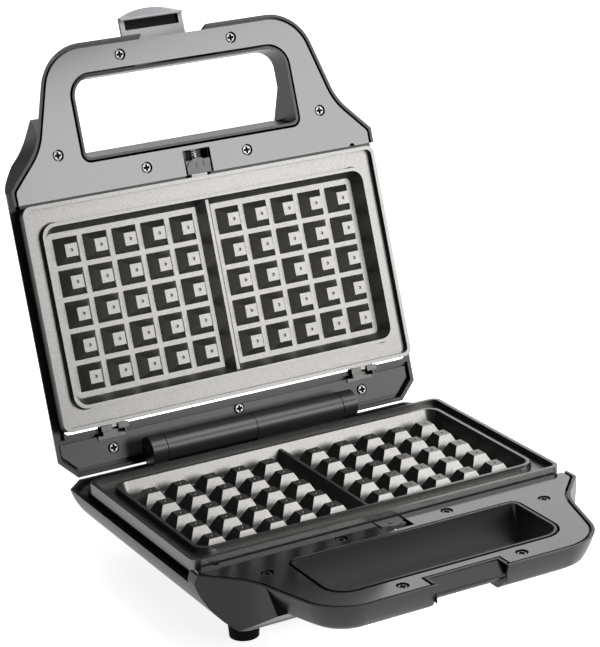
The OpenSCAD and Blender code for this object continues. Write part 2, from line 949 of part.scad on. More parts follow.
module hinge_pin() {
    color([0.7, 0.7, 0.72])
        base_at()
        translate([-66.8, hinge_y, hinge_w])
        rotate([0, 90, 0])
        cylinder(r = pin_r, h = 133.6);
}

// ---- waffle plates ----------------------------------------------------

// rounded block that widens by run from the bottom to the top
module flared(hx, hy, r, run, h) {
    intersection() {
        along_y(-hy - run, hy + run)
            polygon([[-hx, 0], [hx, 0], [hx + run, h], [-hx - run, h]]);
        box([-hx - run, -hy + r, 0], [hx + run, hy - r, h]);
    }
    intersection() {
        along_x(-hx - run, hx + run)
            polygon([[-hy, 0], [hy, 0], [hy + run, h], [-hy - run, h]]);
        box([-hx + r, -hy - run, 0], [hx - r, hy + run, h]);
    }
    for (sx = [-1, 1], sy = [-1, 1])
        translate([sx * (hx - r), sy * (hy - r), 0])
            cylinder(r1 = r, r2 = r + run, h = h);
}

// row of pyramid sections along one axis
module comb(pts) {
    for (c = pts)
        polygon([[c - pyr_foot, -floor_d - 1], [c - pyr_foot, -floor_d], [c - pyr_top, 0],
            [c + pyr_top, 0], [c + pyr_foot, -floor_d], [c + pyr_foot, -floor_d - 1]]);
}

// the fifty pyramids
module pyramids() {
    cols = [for (s = [-1, 1], i = [0:4]) s * (first_col + i * pitch_x)];
    rows = [for (j = [-2:2]) j * pitch_y];
    difference() {
        intersection() {
            along_y(-rim_in_y, rim_in_y)
                comb(cols);
            along_x(-rim_in_x, rim_in_x)
                comb(rows);
        }
        for (c = cols, r = rows)
            translate([c, r, -dimple_d])
                cylinder(r1 = dimple_r * 0.5, r2 = dimple_r, h = dimple_d + eps);
    }
}

// cast plate with two square waffles
module waffle_plate() {
    run = cavity_run;
    difference() {
        union() {
            translate([0, 0, -skirt_d])
                linear_extrude(skirt_d + rim_h)
                rrect(plate_x, plate_y, plate_r);
            translate([0, 0, -plate_base])
                linear_extrude(plate_base - 1)
                rrect(rim_in_x + 0.5, rim_in_y + 0.5, 7);
            for (x = [-lug_x, lug_x])
                box([x - lug_w / 2, plate_y - 1, -skirt_d], [x + lug_w / 2, plate_y + lug_l, -3.1]);
            box([-5, -plate_y - 3.2, -skirt_d], [5, -plate_y + 1, -3.1]);
        }
        // channel between the lip and the rim
        translate([0, 0, -flange_d])
            difference() {
                linear_extrude(10)
                    rrect(plate_x - lip_w, plate_y - lip_w, plate_r - lip_w + 0.5);
                translate([0, 0, -fin])
                    flared(rim_x + 0.8, rim_y + 0.8, 8.6, -0.8, flange_d + rim_h + fin);
            }
        // waffle cavity
        translate([0, 0, -floor_d])
            flared(rim_in_x - run, rim_in_y - run, 3, run, floor_d + rim_h + eps);
    }
    pyramids();
    // ridge between the two waffles
    along_y(-rim_in_y + 1, rim_in_y - 1)
        polygon([[-ridge_t - 3.9, -floor_d - 1], [-ridge_t - 3.9, -floor_d], [-ridge_t, -0.3],
            [ridge_t, -0.3], [ridge_t + 3.9, -floor_d], [ridge_t + 3.9, -floor_d - 1]]);
}

module lower_waffle_plate() {
    color([0.6, 0.6, 0.6])
        base_at()
        waffle_plate();
}

module upper_waffle_plate() {
    color([0.6, 0.6, 0.6])
        lid_at()
        waffle_plate();
}

// sheet clip that holds a rear lug
module plate_clip() {
    along_x(-clip_x, clip_x)
        polygon([[clip_foot_y, -strip_w], [clip_foot_y, clip_t - strip_w], [clip_y, clip_t - strip_w],
            [clip_y, -clip_top], [clip_nose_y, -clip_top], [clip_nose_y, -clip_top - clip_t], [clip_y - clip_t, -clip_top - clip_t],
            [clip_y - clip_t, -strip_w]]);
    for (s = [-1, 1])
        box([s * clip_rib_x - clip_t / 2, clip_y - 0.1, clip_t - strip_w - 0.1],
            [s * clip_rib_x + clip_t / 2, clip_y + clip_rib_l, -clip_rib_top]);
}

module plate_clips() {
    for (x = [-lug_x, lug_x])
        difference() {
            translate([x, 0, 0])
                plate_clip();
            box([x - clip_slot / 2, clip_nose_y - 1, -clip_slot_d],
                [x + clip_slot / 2, clip_y + clip_t + 0.9, 0]);
        }
}

module base_plate_clips() {
    color([0.75, 0.75, 0.77])
        base_at()
        plate_clips();
}

module lid_plate_clips() {
    color([0.75, 0.75, 0.77])
        lid_at()
        plate_clips();
}

// ---- plate release ----------------------------------------------------

// sliding catch with a rounded thumb face
module release_button() {
    translate([0, 0, -button_top - 0.1])
        linear_extrude(0.9)
        intersection() {
            translate([0, thumb_r - thumb_back])
                circle(thumb_r);
            translate([-button_x, -thumb_back])
                square([2 * button_x, thumb_l]);
        }
    box([-button_x, -button_back, -button_d], [button_x, -button_front, -button_top]);
    // raised mark and stop edge
    translate([0, -button_back + 3.2, 0.7 - button_top])
        cylinder(r = 1.5, h = 0.5);
    box([-button_x, -button_back, -button_top - 0.6], [-3.4, 4.2 - button_back, 1.1 - button_top]);
}

module base_release_button() {
    color([0.4, 0.4, 0.42])
        base_at()
        release_button();
}

module lid_release_button() {
    color([0.4, 0.4, 0.42])
        lid_at()
        release_button();
}

// return spring of the button, drawn as touching rings
module release_spring() {
    for (i = [0:4])
        translate([0, spring_y - i * spring_pitch, -spring_w])
            rotate([90, 0, 0])
            rotate_extrude()
            translate([spring_r, 0])
            circle(spring_wire);
    for (i = [0:3], s = [-1, 1])
        translate([s * spring_r, spring_y - i * spring_pitch, -spring_w])
            rotate([90, 0, 0])
            cylinder(r = 0.3, h = spring_pitch);
}

module base_release_spring() {
    color([0.7, 0.7, 0.72])
        base_at()
        release_spring();
}

module lid_release_spring() {
    color([0.7, 0.7, 0.72])
        lid_at()
        release_spring();
}

// ---- heating ----------------------------------------------------------

// polished sheet tray under the plate
module reflector() {
    difference() {
        union() {
            translate([0, 0, -tray_d])
                linear_extrude(tray_d - skirt_d)
                rrect(tray_x, tray_y, 8);
            translate([0, (tray_lip_y - tray_lip_front) / 2, -skirt_d - sheet])
                linear_extrude(sheet)
                rrect(tray_lip_x, (tray_lip_y + tray_lip_front) / 2, 3);
        }
        translate([0, 0, -tray_d + sheet])
            linear_extrude(tray_d)
            rrect(tray_x - sheet, tray_y - sheet, 8 - sheet);
        for (s = [-1, 1])
            translate([s * 12, 42, -tray_d - 1])
                cylinder(r = tube_r + 0.6, h = 3);
    }
}

module base_reflector() {
    color([0.8, 0.8, 0.82])
        base_at()
        reflector();
}

module lid_reflector() {
    color([0.8, 0.8, 0.82])
        lid_at()
        reflector();
}

// straight tube between two points along one axis
module tube_x(x0, x1, y, w, r) {
    translate([x0, y, w])
        rotate([0, 90, 0])
        cylinder(r = r, h = x1 - x0);
}

module tube_y(x, y0, y1, w, r) {
    translate([x, y0, w])
        rotate([-90, 0, 0])
        cylinder(r = r, h = y1 - y0);
}

// quarter bend of radius b in plan, starting angle a
module bend(x, y, w, b, a, r) {
    translate([x, y, w])
        rotate([0, 0, a])
        rotate_extrude(angle = 90)
        translate([b, 0])
        circle(r);
}

// tubular element in one loop with two terminals down through the reflector
module heating_element() {
    w = -plate_base - heat_gap - tube_r;
    b = 12;
    difference() {
        union() {
            tube_x(-loop_x + b, loop_x - b, -loop_y, w, tube_r);
            tube_x(-loop_x + b, -12, loop_y, w, tube_r);
            tube_x(12, loop_x - b, loop_y, w, tube_r);
            for (s = [-1, 1]) {
                tube_y(s * loop_x, -loop_y + b, loop_y - b, w, tube_r);
                translate([s * 12, loop_y, w])
                    sphere(tube_r);
                tube_y(s * 12, loop_y, 42, w, tube_r);
                translate([s * 12, 42, w])
                    sphere(tube_r);
                translate([s * 12, 42, -27])
                    cylinder(r = tube_r, h = 27 + w);
                translate([s * 12, 42, -30])
                    cylinder(r = 1.2, h = 4);
            }
            bend(loop_x - b, loop_y - b, w, b, 0, tube_r);
            bend(-loop_x + b, loop_y - b, w, b, 90, tube_r);
            bend(-loop_x + b, -loop_y + b, w, b, 180, tube_r);
            bend(loop_x - b, -loop_y + b, w, b, 270, tube_r);
        }
    }
}

module base_heating_element() {
    color([0.35, 0.35, 0.36])
        base_at()
        heating_element();
}

module lid_heating_element() {
    color([0.35, 0.35, 0.36])
        lid_at()
        heating_element();
}

// saddle clamps between the element and the reflector
module element_clamps() {
    w = -plate_base - heat_gap - tube_r;
    seat = tube_r + eps;
    for (x = [-40, 40], s = [-1, 1])
        difference() {
            box([x - 4, s * loop_y - 5, -tray_d + sheet], [x + 4, s * loop_y + 5, w + 2]);
            tube_x(x - 5, x + 5, s * loop_y, w, seat);
            box([x - 5, s * loop_y - seat, w], [x + 5, s * loop_y + seat, w + 5]);
        }
}

module base_element_clamps() {
    color([0.7, 0.7, 0.72])
        base_at()
        element_clamps();
}

module lid_element_clamps() {
    color([0.7, 0.7, 0.72])
        lid_at()
        element_clamps();
}

// ---- electrical pieces ------------------------------------------------

// disc thermostat under the reflector
module thermostat() {
    color([0.5, 0.45, 0.4])
    base_at()
    union() {
        translate([0, 0, -tray_d - 4.4])
            cylinder(r = 9, h = 4.4);
        translate([0, 0, -tray_d - 8.4])
            cylinder(r = 7.5, h = 4);
        for (s = [-1, 1]) {
            box([s * 5 - 3.2, -0.4, -tray_d - 11.4], [s * 5 + 3.2, 0.4, -tray_d - 8.4]);
            translate([s * 13, 0, -tray_d - 0.8])
                cylinder(r = 3, h = 0.8);
            box([s * 11 - 3, -2.5, -tray_d - 0.8], [s * 11 + 3, 2.5, -tray_d]);
        }
    }
}

// thermal fuse in its sleeve, clipped to the reflector
module thermal_fuse() {
    color([0.8, 0.78, 0.7])
    base_at()
    union() {
        tube_x(30, 46, 20, -tray_d - 3, 2.2);
        tube_x(24, 52, 20, -tray_d - 3, 0.6);
        box([36, 17.5, -tray_d - 1.6], [40, 22.5, -tray_d]);
    }
}

// terminal block on the floor of the base
module terminal_block() {
    color([0.85, 0.85, 0.8])
    base_at()
    difference() {
        box([-60, 42, -body_d + wall], [-36, 58, wall - body_d + 11]);
        for (i = [0:2])
            translate([-54 + i * 6, 50, wall - body_d + 8])
                cylinder(r = 2, h = 5);
    }
}

// loom between the terminal block, the fuse, the thermostat and the element
module base_wiring() {
    w = wire_w;
    color([0.7, 0.15, 0.1])
    base_at()
    union() {
        tube_y(-54, 58, 62, w, wire_r);
        tube_y(-40, 58, 76, w + 1.5, wire_r);
        tube_x(-54, -12, 62, w, wire_r);
        translate([-54, 62, w])
            sphere(wire_r);
        tube_y(-12, 46, 62, w, wire_r);
        translate([-12, 62, w])
            sphere(wire_r);
        tube_x(-30, 12, 66, w, wire_r);
        tube_y(12, 46, 66, w, wire_r);
        tube_y(-30, 24, 66, w, wire_r);
        for (p = [[12, 66], [-30, 66], [-30, 24]])
            translate([p[0], p[1], w])
                sphere(wire_r);
        tube_x(-30, 24, 24, w, wire_r);
    }
}

// sleeve in the rear wall where the mains lead enters
module cord_gland() {
    color([0.1, 0.1, 0.1])
    base_at()
    translate([-gland_x, rear_y, -gland_d])
        rotate([-90, 0, 0])
        difference() {
            union() {
                translate([0, 0, -5.3])
                    cylinder(r = gland_r, h = 6);
                cylinder(r = gland_r + 1.1, h = 2);
                translate([0, 0, 2])
                    cylinder(r1 = gland_r + 0.4, r2 = gland_r - 0.4, h = 1.5);
                translate([0, 0, -5.3])
                    cylinder(r = gland_r + 0.8, h = 1.2);
            }
            translate([0, 0, -6])
                cylinder(r = gland_hole_r, h = 20);
        }
}

// four feet shaped to the round underside
module feet() {
    color([0.07, 0.07, 0.07])
    base_at()
    difference() {
        for (p = [[foot_x, -foot_front], [foot_rear_x, foot_rear]], s = [-1, 1])
            translate([s * p[0], p[1], -top_h])
                cylinder(r1 = foot_tip_r, r2 = foot_r, h = top_h - 26);
        body_form(0);
    }
}

// ---- screws -----------------------------------------------------------

// cross-head screw with its head seat at the origin
module screw(l) {
    difference() {
        union() {
            cylinder(r = head_r, h = head_h);
            translate([0, 0, -l])
                cylinder(r = shank_r, h = l);
        }
        for (a = [0, 90])
            rotate([0, 0, a])
                box([-slot_l / 2, -slot_w / 2, head_h - slot_d], [slot_l / 2, slot_w / 2, head_h + 1]);
    }
}

module cover_screws() {
    for (p = screw_pts)
        translate([p[0], p[1], -4])
            screw(screw_l);
}

module hinge_screws() {
    for (p = strip_pts)
        translate([p[0], p[1], -strip_w - strip_sink])
            screw(screw_l);
}

module base_cover_screws() {
    color([0.8, 0.8, 0.82])
        base_at()
        cover_screws();
}

module base_hinge_screws() {
    color([0.8, 0.8, 0.82])
        base_at()
        hinge_screws();
}

module lid_cover_screws() {
    color([0.8, 0.8, 0.82])
        lid_at()
        cover_screws();
}

module lid_hinge_screws() {
    color([0.8, 0.8, 0.82])
        lid_at()
        hinge_screws();
}

// ---- lid pieces -------------------------------------------------------

// small board that carries the two lamps
module lamp_board() {
    color([0.1, 0.35, 0.2])
    lid_at()
    union() {
        box([-20, -58, board_w], [20, -42, board_w + 1.6]);
        for (s = [-1, 1]) {
            translate([s * 12, -50, board_w - 3.4])
                cylinder(r = 2.5, h = 3.4);
            box([s * 18.5 - 1.5, -51.5, -body_d + wall], [s * 18.5 + 1.5, -48.5, board_w]);
        }
    }
}

module indicator_lenses() {
    color([0.8, 0.3, 0.1])
    lid_at()
    for (s = [-1, 1])
        translate([s * 12, -50, -body_d - 1])
            difference() {
                union() {
                    cylinder(r = 4, h = 3.2);
                    translate([0, 0, 3.2])
                        cylinder(r = 5, h = 1);
                }
                translate([0, 0, 1.2])
                    cylinder(r = 3, h = 5);
            }
}

// loom of the lid, from the hinge to the element and the lamps
module lid_wiring() {
    w = wire_w;
    color([0.7, 0.15, 0.1])
    lid_at()
    union() {
        tube_y(-40, 46, 80, w + 2.5, wire_r);
        tube_x(-40, -12, 46, w, wire_r);
        translate([-40, 46, w])
            cylinder(r = wire_r, h = 2.5);
        translate([-40, 46, w])
            sphere(wire_r);
        tube_y(-20, -44, 46, w, wire_r);
        translate([-20, -44, w])
            sphere(wire_r);
        translate([-20, -44, w])
            cylinder(r = wire_r, h = 1.85);
        tube_x(-12, 12, 46, w, wire_r);
    }
}

module latch_pin() {
    color([0.7, 0.7, 0.72])
        lid_at()
        translate([-26, -latch_y, -latch_w])
        rotate([0, 90, 0])
        cylinder(r = latch_pin_r, h = 52);
}

// latch drawn closed about its pin: Y to the front is negative, W towards the base is positive
module latch_form() {
    inner = -latch_reach;
    outer = -latch_reach - latch_t;
    tip = inner + hook_d;
    difference() {
        union() {
            translate([-latch_x, 0, 0])
                rotate([0, 90, 0])
                cylinder(r = latch_r, h = 2 * latch_x);
            box([-latch_x, inner - 1, -latch_r], [latch_x, 0, -arm_top]);
            intersection() {
                along_x(-latch_x, latch_x)
                    polygon([[inner, -latch_r], [inner, hook_z], [tip, hook_z],
                        [tip, hook_z + hook_h], [outer, latch_l], [outer - 1, latch_l], [outer - 1, -latch_r]]);
                translate([0, outer + latch_bow, -latch_r - 1])
                    cylinder(r = latch_bow, h = latch_l + latch_r + 2, $fn = 360);
            }
        }
        // pocket behind the hook
        box([-pocket_x, inner - pocket_d, hook_z - pocket_h], [pocket_x, inner + 1, hook_z - 0.2]);
        // clearance for the pin
        translate([-latch_x - 1, 0, 0])
            rotate([0, 90, 0])
            cylinder(r = latch_pin_r + pin_fit, h = 2 * latch_x + 2);
    }
}

module latch_lever() {
    color([0.55, 0.55, 0.57])
        lid_at()
        translate([0, -latch_y, -latch_w])
        rotate([90, 0, 0])
        latch_form();
}

base_housing();
base_inner_cover();
base_hinge_cover();
hinge_pin();
lower_waffle_plate();
base_plate_clips();
base_release_button();
base_release_spring();
base_reflector();
base_heating_element();
base_element_clamps();
thermostat();
thermal_fuse();
terminal_block();
base_wiring();
cord_gland();
feet();
base_cover_screws();
base_hinge_screws();
lid_housing();
lid_inner_cover();
lid_hinge_cover();
upper_waffle_plate();
lid_plate_clips();
lid_release_button();
lid_release_spring();
lid_reflector();
lid_heating_element();
lid_element_clamps();
lamp_board();
indicator_lenses();
lid_wiring();
lid_cover_screws();
lid_hinge_screws();
latch_pin();
latch_lever();
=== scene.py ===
# %% [markdown]
# # A waffle maker with its lid open
#
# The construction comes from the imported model: every CAD node already sits in one shared frame, in metres.
# This file dresses those nodes. It softens their edges, builds the pieces that need a freer shape,
# gives every surface a material worked out from the real one, and sets the stage, the lamps and the camera.

# %% Load the frame
import json
from math import cos, pi, radians, sin

import bmesh
import bpy
from mathutils import Matrix, Vector


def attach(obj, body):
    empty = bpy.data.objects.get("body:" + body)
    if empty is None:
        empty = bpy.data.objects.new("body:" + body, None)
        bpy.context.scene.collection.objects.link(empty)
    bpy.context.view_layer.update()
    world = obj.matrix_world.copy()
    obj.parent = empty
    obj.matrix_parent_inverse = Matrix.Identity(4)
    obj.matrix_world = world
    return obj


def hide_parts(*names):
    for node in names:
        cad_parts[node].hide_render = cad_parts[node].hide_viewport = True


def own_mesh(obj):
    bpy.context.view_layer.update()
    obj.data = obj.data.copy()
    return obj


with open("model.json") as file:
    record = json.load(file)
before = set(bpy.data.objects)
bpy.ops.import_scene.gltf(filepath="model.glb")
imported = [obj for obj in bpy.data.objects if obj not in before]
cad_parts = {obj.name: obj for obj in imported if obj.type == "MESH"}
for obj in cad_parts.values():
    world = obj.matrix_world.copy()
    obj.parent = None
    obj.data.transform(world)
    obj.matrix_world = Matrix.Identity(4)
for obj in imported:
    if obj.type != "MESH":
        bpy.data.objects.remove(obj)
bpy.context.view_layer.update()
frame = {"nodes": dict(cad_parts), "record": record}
MM = 0.001
nodes = frame["nodes"]

# %% [markdown]
# ## The two halves and their shared measures
#
# Both halves share one outline. Each is described in its own half frame: x across, y from the handle to
# the hinge, w up out of the plate with w = 0 on the flat tops of the pyramids. The lid is the same half,
# turned over and swung open about the hinge pin, so one matrix per half places any piece.

# %% Half frames
FRAME_Y = -21.96
TOPS_H = 45.9
HINGE_Y = 84.15
HINGE_W = 2.4
LID_OPEN = 108.1


def base_frame():
    """Matrix from a half frame in mm to the base's place in metres."""
    return Matrix.Scale(MM, 4) @ Matrix.Translation((0, FRAME_Y, TOPS_H))


def lid_frame():
    """Matrix from a half frame in mm to the open lid's place in metres."""
    hinge = Matrix.Translation((0, FRAME_Y + HINGE_Y, TOPS_H + HINGE_W))
    swing = Matrix.Rotation(radians(-LID_OPEN), 4, "X")
    back = Matrix.Translation((0, -HINGE_Y, HINGE_W))
    over = Matrix.Rotation(pi, 4, "Y")
    return Matrix.Scale(MM, 4) @ hinge @ swing @ back @ over


HALF = {"base": base_frame(), "lid": lid_frame()}
print("lid pyramid tops, middle, at", tuple(round(v, 4) for v in HALF["lid"] @ Vector((0, 0, 0))))

# %% [markdown]
# ## The camera
#
# A long lens from the front left, a little above the open lid. A small roll keeps the horizon of the
# appliance slightly tipped, as when a camera is held by hand on a boom.

# %% Camera
CAMERA_AT = Vector((-607.1, -1087.3 + FRAME_Y, 520.05 + TOPS_H)) * MM
CAMERA_AZ = -28.71
CAMERA_DOWN = 19.05
CAMERA_ROLL = -2.14
LENS = 135.3


def make_camera():
    """A camera that looks along the given bearing, tipped down and rolled about its own axis."""
    data = bpy.data.cameras.new("camera")
    data.lens = LENS
    data.sensor_width = 36
    data.clip_end = 50
    cam = bpy.data.objects.new("camera", data)
    turn = Matrix.Rotation(radians(CAMERA_AZ), 4, "Z")
    tip = Matrix.Rotation(radians(90 - CAMERA_DOWN), 4, "X")
    roll = Matrix.Rotation(radians(CAMERA_ROLL), 4, "Z")
    cam.matrix_world = Matrix.Translation(CAMERA_AT) @ turn @ tip @ roll
    bpy.context.collection.objects.link(cam)
    bpy.context.scene.camera = cam
    return cam


camera = make_camera()
print("camera at", tuple(round(v, 3) for v in camera.location))

# %% [markdown]
# ## Two small helpers for materials
#
# Colours are written as sRGB hex, the way a paint chart gives them, and turned to linear light in one place.
# `add` puts one shader node into a tree with its settings and its links.

# %% Material helpers
def linear(hex_colour):
    """sRGB hex such as "#c8c5c3" to linear RGBA."""
    parts = [int(hex_colour[i:i + 2], 16) / 255 for i in (1, 3, 5)]
    lin = [c / 12.92 if c <= 0.04045 else ((c + 0.055) / 1.055) ** 2.4 for c in parts]
    return (*lin, 1.0)


def add(tree, kind, settings=(), **inputs):
    """Adds one node. Settings are its properties; inputs are numbers, colours or sockets to link from."""
    node = tree.nodes.new(kind)
    for name, value in dict(settings).items():
        setattr(node, name, value)
    for name, value in inputs.items():
        socket = node.inputs[int(name[1:])] if name[1:].isdigit() else node.inputs[name.replace("_", " ")]
        if isinstance(value, bpy.types.NodeSocket):
            tree.links.new(value, socket)
        else:
            socket.default_value = value
    return node


def new_material(name):
    """An empty material with a Principled shader, and its tree."""
    mat = bpy.data.materials.new(name)
    mat.use_nodes = True
    tree = mat.node_tree
    return mat, tree, tree.nodes["Principled BSDF"]


print("linear mid grey:", round(linear("#808080")[0], 3))

# %% [markdown]
# ## Satin black housing: moulded ABS
#
# The shells are injection moulded in a tool with a fine spark-eroded texture. The eye sees a near black
# with broad soft highlights and a grain of a few tenths of a millimetre. Bare ABS has an IOR of about 1.5; the
# pits of the texture hide part of each reflection, which a lower IOR stands for.

# %% Moulded ABS
def moulded_abs(name, colour, roughness, grain_mm=0.35, depth_mm=0.02, bump=0.25, ior=1.38):
    """Matt moulded plastic with a fine eroded grain and slight shade variation."""
    mat, tree, shader = new_material(name)
    where = add(tree, "ShaderNodeTexCoord").outputs["Object"]
    grain = add(tree, "ShaderNodeTexNoise", Vector=where, Scale=1 / (grain_mm * MM), Detail=3.0)
    cloud = add(tree, "ShaderNodeTexNoise", Vector=where, Scale=1 / (40 * MM), Detail=2.0)
    shade = add(tree, "ShaderNodeMapRange", _0=cloud.outputs["Fac"], _3=0.9, _4=1.1)
    tint = add(tree, "ShaderNodeMix", {"data_type": "RGBA", "blend_type": "MULTIPLY"},
               _0=1.0, _6=linear(colour), _7=shade.outputs[0])
    sheen = add(tree, "ShaderNodeMapRange", _0=grain.outputs["Fac"], _3=roughness - 0.06, _4=roughness + 0.06)
    relief = add(tree, "ShaderNodeBump", Strength=bump, Distance=depth_mm * MM, Height=grain.outputs["Fac"])
    tree.links.new(tint.outputs[2], shader.inputs["Base Color"])
    tree.links.new(sheen.outputs[0], shader.inputs["Roughness"])
    tree.links.new(relief.outputs[0], shader.inputs["Normal"])
    shader.inputs["IOR"].default_value = ior
    return mat


housing_abs = moulded_abs("housing_satin_abs", "#121214", 0.36)
hinge_abs = moulded_abs("hinge_cover_abs", "#262628", 0.33, grain_mm=0.3)
foot_rubber = moulded_abs("foot_rubber", "#050505", 0.85, grain_mm=0.5, bump=0.4, ior=1.25)
gland_abs = moulded_abs("gland_abs", "#19191a", 0.5)
print("plastics:", [m.name for m in bpy.data.materials if "abs" in m.name])

# %% [markdown]
# ## Gloss black cover: polished ABS
#
# The covers of the handles come out of a mirror-polished tool. They are as black as the housings, but the
# surface reflects like a lens: what the eye takes for light grey on the lid is the lamp in front of it.

# %% Polished ABS
def polished_abs(name, colour, roughness=0.1):
    """Gloss plastic with the faint orange peel of a polished moulding."""
    mat, tree, shader = new_material(name)
    where = add(tree, "ShaderNodeTexCoord").outputs["Object"]
    peel = add(tree, "ShaderNodeTexNoise", Vector=where, Scale=1 / (6 * MM), Detail=1.0)
    dust = add(tree, "ShaderNodeTexNoise", Vector=where, Scale=1 / (1.5 * MM), Detail=4.0)
    haze = add(tree, "ShaderNodeMapRange", _0=dust.outputs["Fac"], _3=roughness, _4=roughness + 0.03)
    relief = add(tree, "ShaderNodeBump", Strength=0.04, Distance=0.03 * MM, Height=peel.outputs["Fac"])
    tree.links.new(haze.outputs[0], shader.inputs["Roughness"])
    tree.links.new(relief.outputs[0], shader.inputs["Normal"])
    shader.inputs["Base Color"].default_value = linear(colour)
    shader.inputs["IOR"].default_value = 1.5
    return mat


cover_gloss = polished_abs("cover_gloss_abs", "#101012")
button_abs = moulded_abs("catch_satin_abs", "#4a4a4c", 0.35, grain_mm=0.3)
latch_silver = moulded_abs("latch_silver_abs", "#a09fa2", 0.4, grain_mm=0.3, bump=0.1, ior=1.3)
# painted shade: near-black plastic for the faces inside the latch's hook pocket, standing in for the shade in
# that recess
painted_shade_latch_pocket = moulded_abs("latch_recess_abs", "#060606", 0.7, ior=1.25)
lens_amber = polished_abs("lens_amber", "#b03a1a", 0.08)
print("gloss:", cover_gloss.name, lens_amber.name)

# %% [markdown]
# ## Waffle plates: cast aluminium under a silver-grey non-stick coat
#
# The casting is blasted and sprayed with a thin metallic coat, so it shines like dull metal: faces that meet
# the lamp are pale, faces that turn away go nearly black. The coat has flecks about a third of a millimetre
# across, drawn a little coarser here than real so that they still show from a metre away.

# %% Coated aluminium
def coated_casting(name, colour, dark):
    """Metallic non-stick coat: flecked colour, satin roughness and a blasted bump."""
    mat, tree, shader = new_material(name)
    where = add(tree, "ShaderNodeTexCoord").outputs["Object"]
    fleck = add(tree, "ShaderNodeTexNoise", Vector=where, Scale=1 / (0.45 * MM), Detail=2.0)
    cloud = add(tree, "ShaderNodeTexNoise", Vector=where, Scale=1 / (3 * MM), Detail=3.0)
    both = add(tree, "ShaderNodeMix", _0=0.1, _2=fleck.outputs["Fac"], _3=cloud.outputs["Fac"])
    grade = add(tree, "ShaderNodeMapRange", _0=both.outputs[0], _1=0.35, _2=0.65)
    tint = add(tree, "ShaderNodeMix", {"data_type": "RGBA"},
               _0=grade.outputs[0], _6=linear(dark), _7=linear(colour))
    rough = add(tree, "ShaderNodeMapRange", _0=fleck.outputs["Fac"], _3=0.33, _4=0.43)
    relief = add(tree, "ShaderNodeBump", Strength=0.35, Distance=0.03 * MM, Height=fleck.outputs["Fac"])
    tree.links.new(tint.outputs[2], shader.inputs["Base Color"])
    tree.links.new(rough.outputs[0], shader.inputs["Roughness"])
    tree.links.new(relief.outputs[0], shader.inputs["Normal"])
    shader.inputs["Metallic"].default_value = 1.0
    return mat


plate_coat = coated_casting("plate_nonstick_coat", "#72716f", "#5a5958")
print("plate:", plate_coat.name)

# %% [markdown]
# ## Metals
#
# Turned and stamped steel, polished aluminium sheet, the oxidised sheath of a heating element. A metal's
# colour is its reflection, so each one is told apart by tint, roughness and the direction of its scratches.

# %% Metals
def metal(name, colour, roughness, scratch_mm=0.4, stretch=(1, 1, 12), bump=0.15):
    """Metal with drawn scratches: noise squeezed across one direction."""
    mat, tree, shader = new_material(name)
    where = add(tree, "ShaderNodeTexCoord").outputs["Object"]
    drawn = add(tree, "ShaderNodeMapping", _0=where, _3=stretch)
    lines = add(tree, "ShaderNodeTexNoise", Vector=drawn.outputs[0], Scale=0.1 / (scratch_mm * MM), Detail=4.0)
    rough = add(tree, "ShaderNodeMapRange", _0=lines.outputs["Fac"], _3=roughness * 0.7, _4=roughness * 1.3)
    relief = add(tree, "ShaderNodeBump", Strength=bump, Distance=0.02 * MM, Height=lines.outputs["Fac"])
    tree.links.new(rough.outputs[0], shader.inputs["Roughness"])
    tree.links.new(relief.outputs[0], shader.inputs["Normal"])
    shader.inputs["Base Color"].default_value = linear(colour)
    shader.inputs["Metallic"].default_value = 1.0
    return mat


screw_steel = metal("screw_zinc_steel", "#747476", 0.34)
# painted shade: near-black metal for the cross, the rounding and the shank of each screw head, standing in for
# the shade in their recesses
painted_shade_screw_metal = metal("screw_painted_shade", "#141415", 0.6)
pin_steel = metal("pin_turned_steel", "#c4c4c6", 0.22, stretch=(14, 1, 1))
clip_steel = metal("clip_spring_steel", "#3c3b3a", 0.3)
spring_steel = metal("spring_drawn_wire", "#b8b8ba", 0.25)
reflector_sheet = metal("reflector_polished_sheet", "#a8a8a8", 0.24)
element_sheath = metal("element_oxidised_sheath", "#5a5552", 0.5)
thermostat_metal = metal("thermostat_nickel", "#b5aa98", 0.3)
print("metals:", screw_steel.name, pin_steel.name, clip_steel.name, reflector_sheet.name)

# %% [markdown]
# ## Small electrical finishes
#
# Glass-fibre sleeve on the fuse, silicone on the wires, ceramic-white polyamide for the terminal block and
# green solder mask on the lamp board. They are only seen with a half taken apart, but they are finished.

# %% Electrical finishes
fuse_sleeve = moulded_abs("fuse_glass_sleeve", "#ded4b8", 0.7, grain_mm=0.6, bump=0.6)
block_nylon = moulded_abs("terminal_white_nylon", "#dedad0", 0.5)
wire_silicone = moulded_abs("wire_red_silicone", "#9c2318", 0.45, grain_mm=0.8)
board_mask = moulded_abs("board_green_mask", "#1f6b3c", 0.35, grain_mm=1.5)
print("materials:", len(bpy.data.materials))

# %% [markdown]
# ## Softening the edges of a CAD piece
#
# A moulded or cast piece has no true knife edge: a radius of a few tenths catches a thin line of light.
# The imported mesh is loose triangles, so a copy is merged and its flat faces are joined before a Bevel
# modifier rounds every edge that turns by more than 28 degrees. The copy then stands for its node.

# %% Dress a CAD node
def body_of(node):
    """Name of the CAD body that a node belongs to."""
    return next(b for b, members in frame["record"]["behaviour"]["bodies"].items() if node in members)


